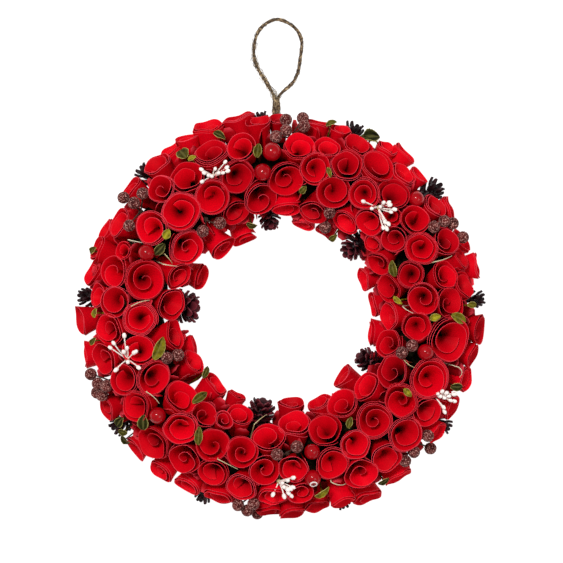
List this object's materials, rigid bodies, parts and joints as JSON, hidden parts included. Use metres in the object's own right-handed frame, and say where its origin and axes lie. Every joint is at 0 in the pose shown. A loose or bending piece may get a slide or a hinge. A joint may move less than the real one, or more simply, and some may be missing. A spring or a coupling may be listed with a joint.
{
  "type": "rose wreath",
  "caption": "Round wreath with a flat back, set all over with red curled wood roses, berries, cones and leaves, with a twine hanging loop.",
  "frame": {"origin": "middle of the ring on its flat back plane", "axes": "+Z out of the face of the wreath, +Y towards the hanging loop at 12 o'clock"},
  "size_m": [0.3683, 0.4572, 0.0698],
  "materials": {
    "moss": "matte, rough moss",
    "rose_wood": "red dyed wood shaving, satin",
    "glossy_berry": "gloss",
    "frosted_berry": "sugared, matte",
    "white_pip": "satin",
    "cone_brown": "matte",
    "leaf_green": "satin",
    "jute": "hairy twine, matte"
  },
  "bodies": {
    "root": {"cone_1": "cone_brown", "cone_10": "cone_brown", "cone_11": "cone_brown", "cone_12": "cone_brown", "cone_13": "cone_brown", "cone_14": "cone_brown", "cone_15": "cone_brown", "cone_2": "cone_brown", "cone_3": "cone_brown", "cone_4": "cone_brown", "cone_5": "cone_brown", "cone_6": "cone_brown", "cone_7": "cone_brown", "cone_8": "cone_brown", "cone_9": "cone_brown", "frosted_sprig_1": "frosted_berry", "frosted_sprig_10": "frosted_berry", "frosted_sprig_11": "frosted_berry", "frosted_sprig_2": "frosted_berry", "frosted_sprig_3": "frosted_berry", "frosted_sprig_4": "frosted_berry", "frosted_sprig_5": "frosted_berry", "frosted_sprig_6": "frosted_berry", "frosted_sprig_7": "frosted_berry", "frosted_sprig_8": "frosted_berry", "frosted_sprig_9": "frosted_berry", "glossy_berry_1": "glossy_berry", "glossy_berry_2": "glossy_berry", "glossy_berry_3": "glossy_berry", "glossy_berry_4": "glossy_berry", "glossy_berry_5": "glossy_berry", "glossy_berry_6": "glossy_berry", "glossy_berry_7": "glossy_berry", "glossy_berry_8": "glossy_berry", "hanging_loop": "jute", "leaf_1": "leaf_green", "leaf_2": "leaf_green", "leaf_3": "leaf_green", "leaf_4": "leaf_green", "leaf_5": "leaf_green", "leaf_6": "leaf_green", "loop_binding": "jute", "pip_spray_1": "white_pip", "pip_spray_2": "white_pip", "pip_spray_3": "white_pip", "pip_spray_4": "white_pip", "pip_spray_5": "white_pip", "ring_base": "moss", "roses_01_oclock": "rose_wood", "roses_02_oclock": "rose_wood", "roses_03_oclock": "rose_wood", "roses_04_oclock": "rose_wood", "roses_05_oclock": "rose_wood", "roses_06_oclock": "rose_wood", "roses_07_oclock": "rose_wood", "roses_08_oclock": "rose_wood", "roses_09_oclock": "rose_wood", "roses_10_oclock": "rose_wood", "roses_11_oclock": "rose_wood", "roses_12_oclock": "rose_wood"}
  },
  "joints": []
}
